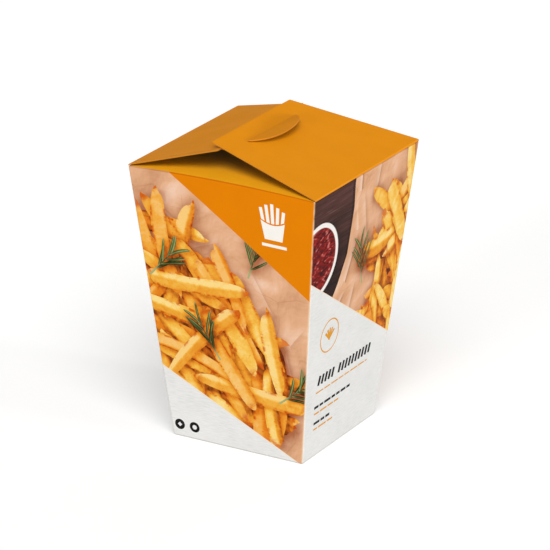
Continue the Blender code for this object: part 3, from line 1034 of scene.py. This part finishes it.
bpy.ops.object.select_all(action="DESELECT")
slit_middle = (SLIT_LEFT + SLIT_RIGHT) / 2
bpy.ops.mesh.primitive_cube_add(
    size=1, location=(slit_middle * MM, LOCK_Y * MM, right_top(slit_middle) * MM),
    scale=((SLIT_RIGHT - SLIT_LEFT) * MM, (TONGUE_CHORD + 2 * SLIT_SPARE) * MM, 6 * CARD * MM))
slit = bpy.context.object
bpy.context.view_layer.objects.active = right_flap
cut = right_flap.modifiers.new("slit", "BOOLEAN")
cut.operation = "DIFFERENCE"
cut.object = slit
bpy.ops.object.modifier_apply(modifier="slit")
bpy.data.objects.remove(slit, do_unlink=True)
finish_flap(right_flap, FLAP_INK)

# ---------------------------------------------------------------- Left flap
# The lower half of the roof.  It rises to the ridge, turns down under the right flap
# and ends at the slit, where its tongue comes up.
left_hinge = -TOP_HALF + HINGE_IN
left_hinge_z = WALL_HEIGHT + HINGE_RISE
under_hinge = right_top(left_hinge) - CARD - FLAP_GAP
SHOULDER = 0.4                               # the step in to the part under the right flap
RIDGE_X = left_hinge + (under_hinge - left_hinge_z) / (math.tan(LEFT_SLOPE) + math.tan(RIGHT_SLOPE))
left_flap = major_flap("left_flap", -1, LEFT_SLOPE, RIDGE_X)
bpy.ops.object.mode_set(mode="EDIT")
select(left_flap, lambda face: face.normal.x > 0.9)
half = flap_half(RIDGE_X + TOP_HALF, -1)
for onward, next_half in ((SHOULDER, flap_half(TOP_HALF - RIDGE_X) - 0.8),
                          (SLIT_RIGHT - RIDGE_X - SHOULDER, flap_half(TOP_HALF - RIDGE_X) - 2.0)):
    bpy.ops.mesh.extrude_region_move(
        TRANSFORM_OT_translate={"value": (onward * MM, 0, -onward * math.tan(RIGHT_SLOPE) * MM)})
    bpy.ops.transform.resize(value=(1, next_half / half, 1))
    half = next_half
bpy.ops.object.mode_set(mode="OBJECT")
finish_flap(left_flap, FLAP_INK)

# ---------------------------------------------------------------- Lock tongue
# A half-moon on the left flap's end.  It is pushed up through the slit and springs out
# over the right flap, so its curved edge stands clear and shades the flap under it.
TONGUE_REACH = 10.5
TONGUE_SLOPE = math.radians(9.0)
TONGUE_TWIST = math.radians(0.50)            # more slope with each millimetre to the back
tongue_radius = (TONGUE_CHORD ** 2 / 4 + TONGUE_REACH ** 2) / (2 * TONGUE_REACH)
tongue_z = right_top(SLIT_RIGHT) + FLAP_GAP
bpy.ops.object.select_all(action="DESELECT")
bpy.ops.mesh.primitive_circle_add(
    vertices=220, radius=tongue_radius * MM, fill_type="NGON",
    location=((SLIT_RIGHT + TONGUE_REACH - tongue_radius) * MM, LOCK_Y * MM, tongue_z * MM))
tongue = bpy.context.object
tongue.name = tongue.data.name = "lock_tongue"
bpy.ops.object.transform_apply(location=True, rotation=True, scale=True)
bpy.ops.object.mode_set(mode="EDIT")
bpy.ops.mesh.select_all(action="SELECT")
bpy.ops.mesh.bisect(plane_co=(SLIT_RIGHT * MM, 0, 0), plane_no=(1, 0, 0), clear_inner=True)
bpy.ops.mesh.select_all(action="SELECT")
bpy.ops.mesh.extrude_region_move(TRANSFORM_OT_translate={"value": (0, 0, CARD * MM)})
for row in range(-7, 8):
    bpy.ops.mesh.select_all(action="SELECT")
    bpy.ops.mesh.bisect(plane_co=(0, (LOCK_Y + 2.7 * row) * MM, 0), plane_no=(0, 1, 0))
bpy.ops.mesh.select_all(action="SELECT")
bpy.ops.transform.rotate(value=TONGUE_SLOPE, orient_axis="Y",
                         center_override=(SLIT_RIGHT * MM, 0, tongue_z * MM))
for back, drop in ((0.30, 0.10), (0.30, 0.35), (0.20, 0.70)):
    select(tongue, lambda face: face.normal.x < -0.9)
    bpy.ops.mesh.extrude_region_move(TRANSFORM_OT_translate={"value": (-back * MM, 0, -drop * MM)})
bpy.ops.object.mode_set(mode="OBJECT")
for vertex in tongue.data.vertices:
    reach = max(vertex.co.x - SLIT_RIGHT * MM, 0.0)
    vertex.co.z += reach * TONGUE_TWIST * (vertex.co.y / MM - LOCK_Y)
finish_flap(tongue, FLAP_INK)

# ---------------------------------------------------------------- Base
# Two flaps folded in from the front and back walls.  The back one's tuck lies on the
# inside of the front one, which has a notch for the thumb that opens it.
BASE_INK = printed("base_ink", white_ink, 0.5, 0.0)
BASE_SEAM = 9.0
NOTCH_RADIUS = 7.5
base_edge = BASE_HALF - BASE_START
base_side = BASE_HALF - BASE_RADIUS - CORNER_RADIUS / 2
for name, near, far in (("front_base_flap", -base_edge, BASE_SEAM),
                        ("back_base_flap", BASE_SEAM + FLAP_GAP, base_edge)):
    bpy.ops.object.select_all(action="DESELECT")
    bpy.ops.mesh.primitive_cube_add(size=1, location=(0, (near + far) / 2 * MM, CARD / 2 * MM),
                                    scale=(2 * base_side * MM, (far - near) * MM, CARD * MM))
    flap = bpy.context.object
    flap.name = flap.data.name = name
    bpy.ops.object.transform_apply(location=True, rotation=True, scale=True)
    if name == "back_base_flap":
        bpy.ops.object.mode_set(mode="EDIT")
        for shift in ((0, -0.5, CARD + 0.05), (0, -16.0, 0)):
            select(flap, lambda face: face.normal.y < -0.9)
            bpy.ops.mesh.extrude_region_move(
                TRANSFORM_OT_translate={"value": [part * MM for part in shift]})
        bpy.ops.object.mode_set(mode="OBJECT")
    else:
        bpy.ops.mesh.primitive_cylinder_add(vertices=48, radius=NOTCH_RADIUS * MM, depth=8 * CARD * MM,
                                            location=(0, (BASE_SEAM + 1.5) * MM, 0))
        notch = bpy.context.object
        bpy.context.view_layer.objects.active = flap
        cut = flap.modifiers.new("notch", "BOOLEAN")
        cut.operation = "DIFFERENCE"
        cut.object = notch
        bpy.ops.object.modifier_apply(modifier="notch")
        bpy.data.objects.remove(notch, do_unlink=True)
    finish_flap(flap, BASE_INK, -1)
